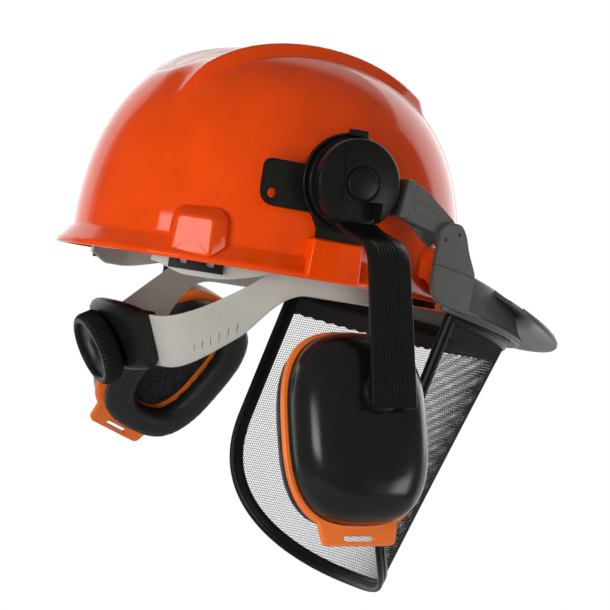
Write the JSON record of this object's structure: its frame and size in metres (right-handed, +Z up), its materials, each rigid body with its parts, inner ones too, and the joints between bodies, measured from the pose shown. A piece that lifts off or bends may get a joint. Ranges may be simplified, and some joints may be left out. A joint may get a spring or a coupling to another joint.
{
  "type": "hard hat",
  "caption": "Hard hat with a ridged shell, swing-arm ear muffs, a fold-up mesh visor with a bill, and a ratchet-adjusted headband.",
  "frame": {"origin": "middle of the head opening, at the height of the brim", "axes": "+X is the way the wearer faces, +Y is the wearer's left, +Z is up"},
  "size_m": [0.3329, 0.4125, 0.3369],
  "materials": {
    "shell_orange": "glossy moulded orange",
    "moulded_black": "satin moulded black",
    "clip_grey": "dark satin plastic",
    "cup_black": "fine-grained satin black",
    "ring_orange": "satin orange",
    "cushion_black": "soft black wipe-clean cover",
    "foam_charcoal": "open-cell dark foam",
    "strap_grey": "warm light grey flexible plastic",
    "sweatband_black": "black padded cloth",
    "strap_webbing": "grey woven webbing",
    "visor_black": "satin moulded black",
    "mesh_black": "black coated mesh"
  },
  "bodies": {
    "helmet": {"shell": "shell_orange", "headband": "strap_grey", "sweatband": "sweatband_black", "crown_strap_a": "strap_webbing", "crown_strap_b": "strap_webbing", "ratchet_cover": "moulded_black", "ratchet_back": "clip_grey", "suspension_clip_front_left": "clip_grey", "suspension_clip_front_right": "clip_grey", "suspension_clip_rear_left": "clip_grey", "suspension_clip_rear_right": "clip_grey", "bracket_left": "moulded_black", "bracket_right": "moulded_black", "visor_link_left": "moulded_black", "visor_link_right": "moulded_black", "visor_pin_left": "moulded_black", "visor_pin_right": "moulded_black"},
    "knob": {"ratchet_knob": "moulded_black", "ratchet_pinion": "clip_grey"},
    "visor": {"visor_frame": "visor_black", "visor_bill": "moulded_black", "visor_screen": "mesh_black", "screen_edging": "moulded_black"},
    "drum_right": {"drum_right": "moulded_black", "drum_button_right": "moulded_black"},
    "arm_right": {"arm_right": "moulded_black"},
    "slider_right": {"cup_pivot_right": "moulded_black"},
    "cup_right": {"cup_shell_right": "cup_black", "cup_ring_right": "ring_orange", "cup_cushion_right": "cushion_black", "cup_foam_right": "foam_charcoal"},
    "drum_left": {"drum_left": "moulded_black", "drum_button_left": "moulded_black"},
    "arm_left": {"arm_left": "moulded_black"},
    "slider_left": {"cup_pivot_left": "moulded_black"},
    "cup_left": {"cup_shell_left": "cup_black", "cup_ring_left": "ring_orange", "cup_cushion_left": "cushion_black", "cup_foam_left": "foam_charcoal"}
  },
  "joints": [
    {"name": "ratchet_turn", "type": "hinge", "parent": "helmet", "child": "knob", "pos_m": [-0.084, 0, -0.055], "axis": [-0.866, 0, -0.5], "continuous": true},
    {"name": "visor_hinge", "type": "hinge", "parent": "helmet", "child": "visor", "pos_m": [0.064, 0, 0.035], "axis": [0, -1, 0], "range_deg": [0, 95]},
    {"name": "muff_swing_right", "type": "hinge", "parent": "helmet", "child": "drum_right", "pos_m": [-0.002, -0.1095, 0.056], "axis": [0, 1, 0], "range_deg": [0, 30]},
    {"name": "muff_flare_right", "type": "hinge", "parent": "drum_right", "child": "arm_right", "pos_m": [-0.00088, -0.1215, 0.04004], "axis": [-0.9976, 0, -0.0698], "range_deg": [-2, 20]},
    {"name": "cup_height_right", "type": "slide", "parent": "arm_right", "child": "slider_right", "axis": [-0.067, 0.2785, 0.9581], "range_m": [-0.008, 0.008]},
    {"name": "cup_swivel_right", "type": "hinge", "parent": "slider_right", "child": "cup_right", "pos_m": [0.0062, -0.18107, -0.06121], "axis": [0.0194, 0.9604, -0.2778], "range_deg": [-4, 16]},
    {"name": "muff_swing_left", "type": "hinge", "parent": "helmet", "child": "drum_left", "pos_m": [-0.002, 0.1095, 0.056], "axis": [0, 1, 0], "range_deg": [-6, 24]},
    {"name": "muff_flare_left", "type": "hinge", "parent": "drum_left", "child": "arm_left", "pos_m": [0.00187, 0.1215, 0.04048], "axis": [0.9703, 0, 0.2419], "range_deg": [-12, 4]},
    {"name": "cup_height_left", "type": "slide", "parent": "arm_left", "child": "slider_left", "axis": [-0.2112, -0.4874, 0.8472], "range_m": [-0.008, 0.008]},
    {"name": "cup_swivel_left", "type": "hinge", "parent": "slider_left", "child": "cup_left", "pos_m": [0.02255, 0.20238, -0.04248], "axis": [-0.1179, 0.8732, 0.473], "range_deg": [-33, 6]}
  ]
}
